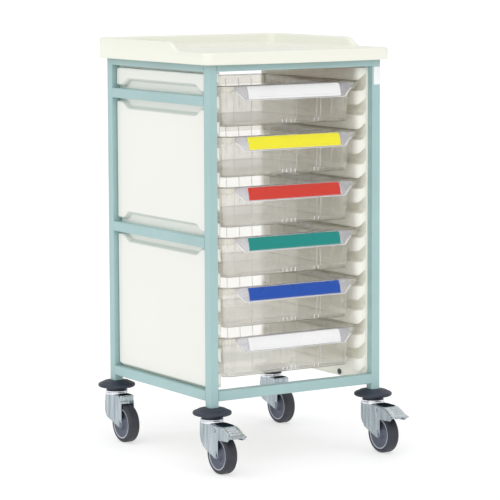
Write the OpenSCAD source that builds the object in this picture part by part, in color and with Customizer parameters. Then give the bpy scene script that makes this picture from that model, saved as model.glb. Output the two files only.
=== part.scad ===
// Tray trolley: a square-tube frame on four swivel castors, with a moulded worktop,
// moulded side panels, ridged runner liners and six clear pull-out trays.
// Millimetres, +Z up. The trays pull out towards -Y and the floor is at z = 0.

/* [Frame] */
// Outside width of the tube frame
frame_w = 408; // [380:1:440]
// Outside depth of the tube frame
frame_d = 404; // [390:1:430]
// Outside of the square tube
tube = 20; // [18:0.5:22]
// Wall of the square tube
tube_wall = 1.5; // [1.2:0.1:2]
// Outer corner radius of the square tube
tube_r = 2; // [1.6:0.1:3]
// How far the posts reach below the bottom rails
post_drop = 12; // [8:1:20]
// Drop from the top of the frame to the top of the upper side rails
upper_rail_drop = 67.5; // [60:0.5:75]
// Rise from the underside of the frame to the underside of the middle side rails
middle_rail_rise = 304.5; // [290:0.5:320]

/* [Worktop] */
// How far the worktop reaches past the frame all round
overhang = 16; // [12:1:22]
// How far the skirt hangs below the top of the frame
skirt_drop = 7.5; // [4:0.5:12]
// Upright corner radius of the worktop
top_r = 18; // [12:1:24]
// Wall of the moulded worktop shell
shell_t = 3; // [2.5:0.1:4]
// Thickness of the core board under the shell
core_t = 12; // [9:1:15]
// Width of the rim round the flat working surface
rim_w = 14; // [11:1:18]
// Inner corner radius of the rim
rim_r = 16; // [10:1:22]
// Rise of the front lip above the working surface
lip_rise = 3; // [2:0.5:6]
// Rise of the gallery above the working surface
gallery_rise = 21; // [14:1:30]
// Distance from the front edge to the foot of the gallery slope
slope_start = 103; // [80:1:130]
// Length of the gallery slope
slope_run = 47; // [30:1:60]
// Radius of the shank of the worktop screws
top_screw_r = 2.5; // [2:0.1:3]

/* [Side panels] */
// How far the outer face of a panel lies inside the outer face of the frame
panel_inset = 10; // [8:0.5:12]
// Wall of the moulded side panels
panel_t = 2; // [1.5:0.1:2.5]
// Gap between a panel and the posts
panel_gap = 3; // [2:0.5:5]
// Gap between a panel and the bottom and top side rails
panel_rail_gap = 5; // [3:0.5:8]
// Corner radius of the side panels
panel_r = 10; // [6:1:14]
// Height of the recess behind a side rail, at the panel's outer face
recess_h = 65; // [55:1:75]
// Height of the recess where it runs out at the panel's edges
recess_end_h = 37; // [32:1:42]
// How far the recess narrows from the outer face to its floor, at top and bottom
recess_slope = 9; // [6:0.5:12]
// Distance from a panel's edge to the full height of the recess
recess_flare = 45; // [35:1:60]
// Rise of the middle recess above the centre of its rail
middle_recess_rise = 2; // [0:0.5:4]

/* [Runner liners] */
// Distance from the inner face of the posts to the tip of the ridges
liner_depth = 24; // [21:0.5:27]
// Wall of the moulded liners
liner_t = 2.2; // [1.8:0.1:2.6]
// Thickness of the liner's edge flange beside the posts
liner_edge_t = 2.7; // [2.4:0.1:3.2]
// Distance from the frame's front and rear faces to the liner's edges
liner_setback = 15; // [12:1:18]
// Height of a runner ridge
ridge_h = 28; // [24:0.5:30]
// Radius of the cove between a ledge and the liner's wall
ledge_cove = 11; // [8:0.5:13]
// Plan radius of the ridge ends
nose_r = 18.5; // [12:0.5:18.5]
// How far the underside of a ridge rises from its tip to the liner's wall
underside_rise = 13; // [6:0.5:15]
// Radius of the washer head of the liner screws
liner_screw_head_r = 6.2; // [5:0.1:7]

/* [Trays] */
// Height from one tray to the next
tray_pitch = 100; // [96:1:106]
// Height of a tray
tray_h = 82; // [74:1:84]
// Drop from the top of the frame to the rim of the highest tray
tray_top_drop = 49; // [45:1:56]
// Height from the underside of the frame to the underside of the lowest tray
tray_floor_gap = 39; // [34:1:46]
// Wall of a tray
tray_t = 2; // [1.6:0.1:2.4]
// How far the tray rim reaches over the ridges at each side
rim_hold = 7; // [5:0.5:9]
// Width of the rim from its outer edge to the tray body
tray_rim_w = 13; // [11:0.5:15]
// How far each wall of a tray leans in from rim to floor
tray_draft = 5; // [3:0.5:7]
// Height of the skirt under the tray rim
skirt_h = 20.7; // [17:0.1:21]
// Running gap between the rim skirt and its ledge
run_gap = 0.3; // [0.2:0.05:0.6]
// Plan corner radius of the rim
tray_rim_r = 26; // [20:1:30]
// Plan corner radius of the tray body
tray_r = 20; // [16:1:24]
// Distance from the frame's front face to the front edge of the tray rim
tray_setback = 12; // [10:0.5:16]
// Distance from the front edge of the rim to the front wall of the tray
front_wall_setback = 13; // [11:0.5:16]
// How far the front lip stands out past the rim's front edge
lip_reach = 8.5; // [6:0.5:11]
// How far the front lip hangs below the rim
lip_drop = 30; // [24:0.5:34]
// Full width of the front lip
lip_w = 274; // [240:1:280]
// Length of the slanted ends of the front lip
lip_chamfer = 17; // [10:1:20]
// Length of a label strip
label_w = 218; // [180:1:230]
// Thickness of a label strip
label_t = 0.8; // [0.6:0.1:1.2]

/* [Castors] */
// Wheel diameter
wheel_d = 80; // [75:1:84]
// Width of the tyre
wheel_w = 25; // [22:0.5:27]
// Radial thickness of the tyre
tyre_t = 8; // [6:0.5:10]
// Height from the floor to the underside of the bumpers
castor_h = 105; // [102:1:112]
// Offset of the axle behind the swivel axis
trail = 37.5; // [34:0.5:40]
// Outside width across a fork's legs
fork_w = 32; // [30.5:0.5:35]
// Sheet thickness of a fork
fork_t = 2; // [1.5:0.1:2.5]
// Radius of the swivel ring
ring_r = 23.5; // [22:0.5:26]
// Radius of a bumper
bumper_r = 39; // [34:0.5:42]
// Height of a bumper
bumper_h = 22; // [18:1:26]
// Radius of the axle bolt
axle_r = 4; // [3:0.5:5]
// Radius of the kingpin
kingpin_r = 4; // [3:0.5:5]
// Running gap round axles, kingpins and hinge pins
pin_gap = 0.05; // [0.03:0.01:0.08]
// Radius of the brake pedal's hinge pin
pedal_pin_r = 2.5; // [2:0.1:3]
// Distance from the swivel axis to the front of a brake pedal
pedal_reach = 104; // [96:1:110]
// Width of a brake pedal's tread
pedal_w = 40; // [38:1:46]

/* [Hidden] */
$fn = 64;
eps = 0.01;
tray_names = ["1", "2", "3", "4", "5", "6"];
label_colours = ["white", "gold", "crimson", "teal", "royalblue", "white"];
corners = ["front_left", "front_right", "rear_left", "rear_right"];
sides = ["left", "right"];
brake_corners = [0, 1];
tray_last = len(tray_names) - 1;

// Heights of the frame
post_z = castor_h + bumper_h;
frame_z = post_z + post_drop;
frame_h = tray_top_drop + tray_last * tray_pitch + tray_h + tray_floor_gap;
frame_top = frame_z + frame_h;
top_rail_z = frame_top - tube;
upper_rail_z = frame_top - upper_rail_drop - tube;
middle_rail_z = frame_z + middle_rail_rise;

// Plan places of the frame
post_x = (frame_w - tube) / 2;
post_y = (frame_d - tube) / 2;
inner_x = frame_w / 2 - tube;
inner_y = frame_d / 2 - tube;

// The model is moved so that its bounding box is centred on the origin
y_shift = (pedal_reach - bumper_r) / 2;

// Worktop
top_w = frame_w + 2 * overhang;
top_d = frame_d + 2 * overhang;
skirt_z = frame_top - skirt_drop;
surface_z = frame_top + core_t + shell_t;
gallery_z = surface_z + gallery_rise;
front_lip_z = surface_z + lip_rise;
slope_y = -top_d / 2 + slope_start;
core_gap = 0.3;
top_screw_places = [100, 0.75 * core_t];
top_screw_head = [5.2, 3];
access_hole_r = 6;

// Side panels
panel_out = frame_w / 2 - panel_inset;
panel_half_d = inner_y - panel_gap;
panel_z0 = frame_z + tube + panel_rail_gap;
panel_z1 = top_rail_z - panel_rail_gap;
boss_r = 5;
boss_inset = 25;

// Runner liners
plate_out = inner_x - panel_t - 0.2;
plate_in = plate_out - liner_t;
ridge_tip = inner_x - liner_depth;
frame_gap = 0.3;
edge_out = inner_x - frame_gap;
edge_in = edge_out - liner_edge_t;
edge_w = 7.5;
liner_half_d = frame_d / 2 - liner_setback;
liner_z0 = frame_z + tube + 1;
liner_z1 = top_rail_z - 3;
foot_margin = 2;
flange_lap = 3;
liner_screw_y = 90;
liner_screw_len = 8;
liner_screw_r = 2.5;
liner_screw_head_t = 1.6;
stop_w = 15;
stop_t = 2.5;
ridge_half_d = liner_half_d - stop_t;

// Trays
tray_top_z = frame_top - tray_top_drop;
ridge_pitch = tray_pitch / 2;
ridge_count = 2 * (tray_last + 1);
ledge_z = tray_top_z - skirt_h - run_gap;
channel_h = ridge_pitch - ridge_h;
rim_half_w = ridge_tip + rim_hold;
rim_front = -(frame_d / 2 - tray_setback);
stop_y = liner_half_d - stop_t;
rim_back = stop_y - 1.5;
body_half_w = rim_half_w - tray_rim_w;
body_front = rim_front + front_wall_setback;
body_back = rim_back - tray_rim_w;
skirt_t = 2.5;
corner_skirt_h = 14;
floor_edge = 5;
lip_t = 2;
lip_root = 6;
lip_nose = 5;
lip_steps = 20;
label_first = 6;
label_last = 19;
divider_ribs = [-87, 68.6, 77.5];
rib = 1.4;

// Castors
axle_z = wheel_d / 2;
race_t = 2.4;
ball_r = 1.45;
ball_ring_r = 16;
ball_count = 12;
ball_space = 2 * ball_r + 0.1;
race_z = castor_h - race_t;
crown_z = race_z - ball_space;
crown_t = 2.5;
cup_wall = 1.9;
cup_gap = 0.4;
stem_r = 8;
stem_gap = 0.1;
stem_plug_h = 38;
kingpin_head = [7, 3.4];
kingpin_h = 20;
fork_back = 21.5;
heel_bulge = 5;
plain_heel_r = 17;
braked_heel_r = 31.5;
plain_heel_turn = 72;
braked_heel_turn = 64;
leg_straight = 20;
pivot_cover = 5.2;
cover_lead = 3.5;
web_step = 4.4;
web_run = 2;
leg_shoulder_h = 23;
braked_heel_h = 34;
brake_web_setback = 13.5;
leg_boss_r = 8;
leg_front = trail + leg_boss_r;
web_drop = 12.5;
wheel_r = wheel_d / 2;
rim_ring_r = wheel_r - tyre_t;
hub_half_w = fork_w / 2 - fork_t - 0.4;
// Shares of the space over the wheel that lie below the hinge pin and below the top of the shoe's block
pivot_share = 0.32;
shoe_share = 0.456;
over_wheel = castor_h - wheel_d;
pivot_lead = 0.5;
pedal_pivot = [-trail + pivot_lead, wheel_d + pivot_share * over_wheel];
cheek_gap = 0.4;
cheek_t = 2;
cheek_in = fork_w / 2 + cheek_gap;
cheek_r = 9.5;
tread_t = 2;
// The pedal's corners seen from the side: how far ahead of the swivel axis, and how far below the bumper
tread_overlap = 10;
tread_back_drop = 5.6;
crest_reach = 64;
crest_drop = 6.8;
bend_reach = 80;
bend_drop = 13.5;
foot_reach = 91;
foot_drop = 21;
front_drop = 23;
toe_reach = 97;
toe_drop = 24.5;
sole_reach = 87;
sole_drop = 32;
cheek_clear = 0.5;
heel_drop = 34.5;
window_half_w = 8.5;
window_front = 57;
window_back = 31;
roll_r = 2.2;
tread_back = [-trail + tread_overlap, castor_h - tread_back_drop];
tread_crest = [-crest_reach, castor_h - crest_drop];
tread_bend = [-bend_reach, castor_h - bend_drop];
tread_foot = [-foot_reach, castor_h - foot_drop];
tread_window = [[-window_half_w, -window_front], [window_half_w, -window_back]];
tread_front = [-pedal_reach + roll_r, castor_h - front_drop];
cheek_toe = [-toe_reach, castor_h - toe_drop];
cheek_sole = [-sole_reach, castor_h - sole_drop];
cheek_heel = [-leg_front - cheek_clear, castor_h - heel_drop];
shoe_reach = 50;
shoe_back_y = -shoe_reach;
shoe_half_w = 9;
shoe_gap = 3;
shoe_web_gap = 1;
lip_setback = 6;

function corner_x(i) = (i % 2 == 0 ? -1 : 1) * post_x;
function corner_y(i) = (i < 2 ? -1 : 1) * post_y;
function has_brake(i) = i < 2;
function arc(c, r, a0, a1, n = 6) =
    [for (k = [0:n]) let (a = a0 + (a1 - a0) * k / n) c + r * [cos(a), sin(a)]];

// Rounded rectangle centred on the origin
module rounded_rect(w, d, r) {
    square([w - 2 * r, d], center = true);
    square([w, d - 2 * r], center = true);
    for (x = [-1, 1], y = [-1, 1])
        translate([x * (w / 2 - r), y * (d / 2 - r)]) circle(r);
}

// Rounded rectangle between two corners
module rounded_between(low, high, r) {
    translate((low + high) / 2)
        rounded_rect(high[0] - low[0], high[1] - low[1], r);
}

// Extrudes a (Y, Z) outline along X from x0 to x1
module along_x(x0, x1) {
    translate([x0, 0, 0]) rotate([90, 0, 90]) linear_extrude(x1 - x0) children();
}

// Extrudes an (X, Z) outline along Y from y0 to y1
module along_y(y0, y1) {
    translate([0, y1, 0]) rotate([90, 0, 0]) linear_extrude(y1 - y0) children();
}

// Extrudes an (X, Y) outline along Z from z0 to z1
module along_z(z0, z1) {
    translate([0, 0, z0]) linear_extrude(z1 - z0) children();
}

// Moves the finished pieces so that the bounding box is centred
module in_place() {
    translate([0, y_shift, 0]) children();
}

// Pieces drawn for the right-hand side, mirrored for the left
module on_side(s) {
    if (s > 0) children();
    else mirror([1, 0, 0]) children();
}

// Frame
module tube_outline() {
    difference() {
        rounded_rect(tube, tube, tube_r);
        rounded_rect(tube - 2 * tube_wall, tube - 2 * tube_wall, max(0.3, tube_r - tube_wall));
    }
}

module post(i) {
    color([0.67, 0.78, 0.77])
        in_place() translate([corner_x(i), corner_y(i), post_z])
            linear_extrude(frame_top - post_z) tube_outline();
}

module top_screw_holes() {
    cylinder(h = tube - tube_wall, r = access_hole_r);
    cylinder(h = tube + 1, r = top_screw_r + 0.1);
}

module rail_across(side, z, drilled) {
    color([0.62, 0.74, 0.73])
        in_place() translate([0, side * post_y, z]) difference() {
            translate([0, 0, tube / 2]) rotate([90, 0, 90])
                linear_extrude(2 * inner_x, center = true) tube_outline();
            if (drilled)
                for (x = [-1, 1]) translate([x * top_screw_places[0], 0, -eps]) top_screw_holes();
        }
}

module rail_along(side, z, drilled, pierced) {
    color([0.67, 0.78, 0.77])
        in_place() translate([side * post_x, 0, z]) difference() {
            translate([0, 0, tube / 2]) rotate([90, 0, 0])
                linear_extrude(2 * inner_y, center = true) tube_outline();
            if (drilled)
                for (y = [-1, 1]) translate([0, y * top_screw_places[0], -eps]) top_screw_holes();
            if (pierced)
                for (y = [-1, 1]) translate([0, y * liner_screw_y, tube / 2])
                    rotate([0, -side * 90, 0]) cylinder(h = tube, r = liner_screw_r);
        }
}

// Worktop
function gallery_curve(drop) = concat(
    [[-top_d, front_lip_z - drop]],
    [for (k = [0:12]) [slope_y + slope_run * k / 12,
        front_lip_z - drop + (gallery_z - front_lip_z) * (1 - cos(15 * k)) / 2]],
    [[top_d, gallery_z - drop]]
);

// Everything above the worktop's front lip and gallery, lowered by drop
module above_gallery(drop) {
    along_x(-top_w, top_w)
        polygon(concat(gallery_curve(drop), [[top_d, 2 * gallery_z], [-top_d, 2 * gallery_z]]));
}

module working_recess(grow, z) {
    along_z(z, 2 * gallery_z)
        rounded_rect(top_w - 2 * rim_w + 2 * grow, top_d - 2 * rim_w + 2 * grow, rim_r + grow);
}

module worktop_shell() {
    color([0.95, 0.95, 0.92]) in_place() difference() {
        along_z(skirt_z, gallery_z) rounded_rect(top_w, top_d, top_r);
        above_gallery(0);
        working_recess(0, surface_z);
        along_z(skirt_z - 1, surface_z - shell_t)
            rounded_rect(top_w - 2 * shell_t, top_d - 2 * shell_t, top_r - shell_t);
        difference() {
            along_z(surface_z - shell_t - 1, gallery_z)
                rounded_rect(top_w - 2 * shell_t, top_d - 2 * shell_t, top_r - shell_t);
            above_gallery(shell_t);
            working_recess(shell_t, surface_z - shell_t - 2);
        }
    }
}

module worktop_core() {
    inset = 2 * (shell_t + core_gap);
    color([0.72, 0.6, 0.44]) in_place() difference() {
        along_z(frame_top, frame_top + core_t)
            rounded_rect(top_w - inset, top_d - inset, top_r - shell_t);
        at_top_screws(frame_top - 1) cylinder(h = 1 + top_screw_places[1], r = top_screw_r);
    }
}

// Places over the middle of each top rail's two screws
module at_top_screws(z) {
    for (s = [-1, 1], t = [-1, 1]) {
        translate([s * top_screw_places[0], t * post_y, z]) children();
        translate([s * post_x, t * top_screw_places[0], z]) children();
    }
}

module worktop_screws() {
    head_z = frame_top - tube_wall - top_screw_head[1];
    color([0.75, 0.76, 0.78]) in_place() at_top_screws(head_z) {
        cylinder(h = top_screw_head[1], r = top_screw_head[0]);
        cylinder(h = frame_top + top_screw_places[1] - head_z, r = top_screw_r);
    }
}

// Side panels, drawn for the right-hand side
module recess_outline(shrink) {
    full = recess_h / 2 - shrink;
    end = recess_end_h / 2 - shrink / 2;
    flare_y = panel_half_d - recess_flare;
    end_y = panel_half_d - recess_flare / 2;
    polygon([
        [-end_y, -end], [-flare_y, -full], [flare_y, -full], [end_y, -end],
        [end_y, end], [flare_y, full], [-flare_y, full], [-end_y, end]
    ]);
}

// The trough behind a rail, from its floor to the panel's outer face, grown by a wall
module recess(z, wall) {
    floor_x = inner_x - wall;
    end = recess_end_h / 2 + wall;
    end_floor = end - recess_slope / 2;
    reach = panel_half_d + (wall > 0 ? -eps : 1);
    translate([0, 0, z]) {
        hull() {
            along_x(panel_out + 1 - wall, panel_out + 1 - wall + eps) recess_outline(-wall);
            along_x(floor_x, floor_x + eps) recess_outline(recess_slope - wall);
        }
        along_y(-reach, reach) polygon([
            [floor_x, -end_floor], [panel_out + 1 - wall, -end],
            [panel_out + 1 - wall, end], [floor_x, end_floor]
        ]);
    }
}

module both_recesses(wall) {
    recess(upper_rail_z + tube / 2, wall);
    recess(middle_rail_z + tube / 2 + middle_recess_rise, wall);
}

module side_panel(s) {
    low = [-panel_half_d, panel_z0];
    high = [panel_half_d, panel_z1];
    wall = [panel_t, panel_t];
    boss_y = panel_half_d - boss_inset;
    color([0.95, 0.95, 0.92]) in_place() on_side(s) difference() {
        union() {
            difference() {
                along_x(inner_x, panel_out) rounded_between(low, high, panel_r);
                along_x(inner_x - 1, panel_out - panel_t)
                    rounded_between(low + wall, high - wall, panel_r - panel_t);
            }
            both_recesses(panel_t);
            for (y = [-1, 1], z = [panel_z0 + boss_inset, panel_z1 - boss_inset / 2])
                translate([plate_out, y * boss_y, z]) rotate([0, 90, 0])
                    cylinder(h = panel_out - panel_t - plate_out + 0.5, r = boss_r);
        }
        both_recesses(0);
    }
}

// Runner liners, drawn for the right-hand side
// The underside rises from the tip to the wall, and the topmost ridge is cut at the liner's top
module ridge_section(wall) {
    run = plate_out - ridge_tip - 2;
    back = plate_out + (wall > 0 ? 1 : 0);
    for (k = [-1:ridge_count - 1]) {
        ledge = ledge_z - k * ridge_pitch;
        low = ledge - ridge_h;
        polygon(concat(
            [[back, min(ledge, liner_z1) - wall], [ridge_tip + wall, min(ledge, liner_z1) - wall],
             [ridge_tip + wall, low + wall]],
            [for (t = [1:8]) [ridge_tip + wall + 2 + (run - wall) * t / 8,
                low + wall + underside_rise * (1 - cos(22.5 * t)) / 2]],
            wall > 0 ? [[back, low + wall + underside_rise]] : []
        ));
    }
}

// Plan outline of the ridges, round at both ends of the tip
module ridge_plan(wall) {
    c = [ridge_tip + nose_r, ridge_half_d - nose_r];
    r = nose_r - wall;
    polygon(concat(
        [[plate_out + 2, -ridge_half_d + wall]],
        arc([c[0], -c[1]], r, 270, 180),
        arc(c, r, 180, 90),
        [[plate_out + 2, ridge_half_d - wall]]
    ));
}

module ridges(wall) {
    intersection() {
        along_y(-ridge_half_d - 1, ridge_half_d + 1) ridge_section(wall);
        along_z(liner_z0 - 1, liner_z1 + 1) ridge_plan(wall);
    }
}

module ledge_coves() {
    back = ledge_cove + liner_t / 2;
    for (k = [0:ridge_count - 1]) translate([plate_in - ledge_cove, ledge_z - k * ridge_pitch])
        polygon(concat(
            [[back, ledge_cove], [back, -liner_t / 2], [0, -liner_t / 2]],
            arc([0, ledge_cove], ledge_cove, -90, 0, 5)
        ));
}

module runner_liner(s) {
    foot_half_d = inner_y - frame_gap;
    rail_lap = tube - foot_margin;
    color([0.95, 0.95, 0.92]) in_place() on_side(s) difference() {
        union() {
            along_x(plate_in, plate_out)
                rounded_between([-liner_half_d, liner_z0], [liner_half_d, liner_z1], flange_lap);
            ridges(0);
            intersection() {
                along_y(-ridge_half_d, ridge_half_d) ledge_coves();
                along_z(liner_z0, liner_z1) ridge_plan(0);
            }
            for (y = [-1, 1]) along_z(liner_z0, liner_z1)
                translate([(edge_in + edge_out) / 2, y * (liner_half_d - edge_w / 2)])
                    square([liner_edge_t, edge_w], center = true);
            for (z = [liner_z0 - 1 - rail_lap, liner_z1 - flange_lap])
                along_x(edge_in, edge_out) rounded_between([-foot_half_d, z],
                    [foot_half_d, z + rail_lap + 1 + flange_lap], flange_lap);
            along_z(liner_z0, liner_z1) translate([plate_out - stop_w, stop_y])
                square([stop_w, stop_t]);
        }
        ridges(liner_t);
        at_liner_screws() cylinder(h = 4 * liner_edge_t, r = liner_screw_r, center = true);
    }
}

// Places on the inner face of the liner's foot and head flanges, along +X
module at_liner_screws() {
    for (y = [-1, 1], z = [frame_z, top_rail_z])
        translate([edge_in, y * liner_screw_y, z + tube / 2]) rotate([0, 90, 0]) children();
}

module liner_screws() {
    color([0.16, 0.3, 0.27]) in_place() for (s = [-1, 1]) on_side(s) at_liner_screws() {
        translate([0, 0, -liner_screw_head_t]) cylinder(h = liner_screw_head_t, r = liner_screw_head_r);
        cylinder(h = liner_screw_len, r = liner_screw_r);
    }
}

// Trays, drawn with the rim's top at z = 0
module tray_slice(z, inset) {
    along_z(z, z + eps) rounded_between(
        [-body_half_w + inset, body_front + inset],
        [body_half_w - inset, body_back - inset], tray_r - min(inset, tray_r / 2));
}

// The tapered tub, its walls moved in by wall, down to depth
module tub(wall, top, depth) {
    lean = tray_draft * (depth - floor_edge) / tray_h;
    hull() {
        tray_slice(top, wall);
        tray_slice(-depth + floor_edge, wall + lean);
        tray_slice(-depth + 0.3 * floor_edge, wall + lean + 0.3 * floor_edge);
        tray_slice(-depth, wall + lean + floor_edge);
    }
}

module rim_outline(inset, r) {
    rounded_between([-rim_half_w + inset, rim_front + inset],
        [rim_half_w - inset, rim_back - inset], r);
}

module rim_skirt() {
    difference() {
        along_z(-skirt_h, 0) rim_outline(0, tray_rim_r);
        along_z(-skirt_h - 1, 1) rim_outline(skirt_t, tray_rim_r - skirt_t);
        translate([-rim_half_w, rim_front - 1, -2 * skirt_h])
            cube([2 * rim_half_w, tray_rim_r + 1, 2 * skirt_h - corner_skirt_h]);
        translate([-lip_w / 2, rim_front - 1, -2 * skirt_h])
            cube([lip_w, tray_rim_r, 3 * skirt_h]);
    }
}

// Front face of the lip as a quadratic curve from the rim down to the lip's lower edge
function lip_point(t) =
    let (a = [rim_front + lip_root, 0], b = [rim_front - lip_nose, 0], c = [rim_front - lip_reach, -lip_drop])
    (1 - t) * (1 - t) * a + 2 * t * (1 - t) * b + t * t * c;
function lip_points(k0, k1, dx, dz) = [for (k = [k0:k1]) lip_point(k / lip_steps) + [dx, dz]];
function reversed(p) = [for (k = [len(p) - 1:-1:0]) p[k]];

module front_lip() {
    half = lip_w / 2;
    intersection() {
        along_x(-half, half) polygon(concat(
            lip_points(0, lip_steps, 0, 0),
            reversed(lip_points(0, lip_steps, lip_t, -lip_t))
        ));
        along_y(rim_front - 2 * lip_reach, rim_front + 3 * lip_reach) polygon([
            [-half, 1], [-half, -lip_drop + lip_chamfer], [-half + lip_chamfer, -lip_drop],
            [half - lip_chamfer, -lip_drop], [half, -lip_drop + lip_chamfer], [half, 1]
        ]);
    }
}

module tray(k) {
    color([0.86, 0.87, 0.84, 0.5])
        in_place() translate([0, 0, tray_top_z - k * tray_pitch]) difference() {
            union() {
                tub(0, -tray_t, tray_h);
                along_z(-tray_t, 0) rim_outline(0, tray_rim_r);
                rim_skirt();
                front_lip();
            }
            difference() {
                tub(tray_t, 1, tray_h - tray_t);
                for (x = divider_ribs, y = [body_front, body_back])
                    translate([x - rib / 2, y - tray_draft - tray_t - rib, -tray_h])
                        cube([rib, 2 * (tray_draft + tray_t + rib), tray_h - skirt_h]);
            }
        }
}

module label_strip(k) {
    color(label_colours[k]) in_place() translate([0, 0, tray_top_z - k * tray_pitch])
        along_x(-label_w / 2, label_w / 2) polygon(concat(
            lip_points(label_first, label_last, 0, 0),
            reversed(lip_points(label_first, label_last, -label_t, 0.3 * label_t))
        ));
}

// Castors, drawn round the swivel axis at x = 0, y = 0, with the wheel towards -Y
module castor_at(i) {
    in_place() translate([corner_x(i), corner_y(i), 0]) children();
}

module castor_bumpers() {
    edge = 4;
    neck_r = ring_r - 2.5;
    dish_z = castor_h + 5;
    crown = [bumper_r - 12, post_z - 2.4];
    rim_z = castor_h + 0.52 * bumper_h;
    color([0.22, 0.25, 0.3]) for (i = [0:3]) castor_at(i) rotate_extrude() {
        polygon([
            [stem_r, castor_h], [neck_r, castor_h], [neck_r + 0.5, dish_z - 2], [neck_r + 3, dish_z],
            [bumper_r - edge, rim_z - edge], [bumper_r - edge, rim_z + edge],
            crown, [tube / 2 + 6, post_z], [stem_r, post_z]
        ]);
        translate([bumper_r - edge, rim_z]) circle(edge);
    }
}

module castor_stems() {
    plug = tube - 2 * tube_wall - 2 * stem_gap;
    color([0.7, 0.72, 0.74]) for (i = [0:3]) castor_at(i) difference() {
        union() {
            along_z(race_z, castor_h) circle(ring_r);
            along_z(castor_h - 1, post_z + 1) circle(stem_r);
            along_z(post_z, post_z + stem_plug_h) rounded_rect(plug, plug, 1);
        }
        along_z(race_z - 1, race_z + kingpin_h) circle(kingpin_r);
    }
}

module kingpins() {
    head_top = crown_z - crown_t - 0.1;
    color([0.7, 0.72, 0.74]) for (i = [0:3]) castor_at(i) {
        along_z(head_top - kingpin_head[1], head_top) circle(kingpin_head[0]);
        along_z(head_top - eps, race_z + kingpin_h) circle(kingpin_r);
    }
}

module swivel_balls() {
    color([0.8, 0.8, 0.82]) for (i = [0:3]) castor_at(i)
        for (k = [0:ball_count - 1]) rotate([0, 0, 360 * k / ball_count])
            translate([ball_ring_r, 0, crown_z + ball_space / 2]) sphere(ball_r);
}

// Outline of a fork leg in the (Y, Z) plane, with a round heel behind
module leg_outline(brake) {
    top = crown_z;
    web_y = brake_web_setback - trail;
    back = brake ? fork_back : fork_back + heel_bulge;
    heel_r = brake ? braked_heel_r : plain_heel_r;
    heel = [back - heel_r, axle_z + (brake ? braked_heel_h : leg_shoulder_h)];
    polygon(concat(
        [[fork_back, top], [back, top - leg_straight]],
        arc(heel, heel_r, 0, brake ? -braked_heel_turn : -plain_heel_turn),
        [[-trail + 2.5, axle_z - leg_boss_r + 0.4], [-trail, axle_z], [-leg_front, axle_z]],
        brake
            ? [[-leg_front, pedal_pivot[1]], [-trail - cover_lead, top - pivot_cover],
                [web_y - web_run, top - web_step], [web_y, top]]
            : [[-leg_front, top]]
    ));
    translate([-trail, axle_z]) circle(leg_boss_r);
}

module castor_fork(i) {
    brake = has_brake(i);
    half = fork_w / 2;
    front = brake ? trail - brake_web_setback : leg_front;
    color([0.75, 0.78, 0.8]) castor_at(i) difference() {
        union() {
            for (x = [-half, half - fork_t]) along_x(x, x + fork_t) leg_outline(brake);
            along_z(crown_z - crown_t, crown_z) translate([-half, -front])
                square([fork_w, front + fork_back]);
            along_z(crown_z - crown_t, crown_z) circle(ring_r);
            along_z(crown_z - crown_t, race_z - cup_gap) difference() {
                circle(ring_r);
                circle(ring_r - cup_wall);
            }
            if (!brake) translate([-half, -leg_front, crown_z - web_drop])
                cube([fork_w, crown_t, web_drop]);
        }
        along_z(crown_z - crown_t - 1, race_z) circle(kingpin_r + pin_gap);
        along_x(-fork_w, fork_w) translate([-trail, axle_z]) circle(axle_r);
        if (brake) along_x(-fork_w, fork_w) translate(pedal_pivot) circle(pedal_pin_r);
    }
}

module wheel_at(i) {
    castor_at(i) translate([0, -trail, axle_z]) rotate([0, 90, 0]) children();
}

module wheel_centre(i) {
    rim_half = wheel_w / 2 - 1.5;
    web_r = rim_ring_r - 6;
    hub_r = axle_r + 7;
    color([0.62, 0.64, 0.67]) wheel_at(i) rotate_extrude() polygon([
        [axle_r + pin_gap, -hub_half_w], [hub_r, -hub_half_w], [hub_r + 1, -4], [web_r - 1, -4],
        [web_r, -rim_half], [rim_ring_r, -rim_half], [rim_ring_r, rim_half], [web_r, rim_half],
        [web_r - 1, 4], [hub_r + 1, 4], [hub_r, hub_half_w], [axle_r + pin_gap, hub_half_w]
    ]);
}

module tyre(i) {
    edge = 0.75 * tyre_t;
    color([0.25, 0.26, 0.28]) wheel_at(i) rotate_extrude() intersection() {
        union() {
            translate([rim_ring_r, -wheel_w / 2]) square([tyre_t - edge, wheel_w]);
            translate([rim_ring_r, -wheel_w / 2 + edge]) square([tyre_t, wheel_w - 2 * edge]);
            for (y = [-1, 1]) translate([wheel_r - edge, y * (wheel_w / 2 - edge)]) circle(edge);
        }
        translate([rim_ring_r, -wheel_w]) square([tyre_t, 2 * wheel_w]);
    }
}

module axle_bolt(i) {
    half = fork_w / 2;
    color([0.7, 0.72, 0.74]) wheel_at(i) {
        cylinder(h = fork_w + 6, r = axle_r, center = true);
        translate([0, 0, -half - 2.5]) cylinder(h = 2.5, r = axle_r + 2.5);
        translate([0, 0, half]) cylinder(h = 4.5, r = axle_r + 3, $fn = 6);
    }
}

module cheek_outline() {
    polygon([
        [pedal_pivot[0] + cheek_r, pedal_pivot[1]], [pedal_pivot[0] + cheek_r, tread_back[1] - 0.1],
        tread_crest + [0, -0.1], tread_bend + [0, -0.1], tread_foot + [0, -0.1],
        cheek_toe, cheek_sole, cheek_heel, [pedal_pivot[0] - 1, pedal_pivot[1] - cheek_r + 0.2]
    ]);
    translate(pedal_pivot) circle(cheek_r);
}

// Upper face of the pedal's tread, seen from the side
module tread_outline() {
    down = [0, -tread_t];
    polygon([
        tread_back, tread_crest, tread_bend, tread_foot, tread_front,
        tread_front + down, tread_foot + down, tread_bend + down, tread_crest + down, tread_back + down
    ]);
}

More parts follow.
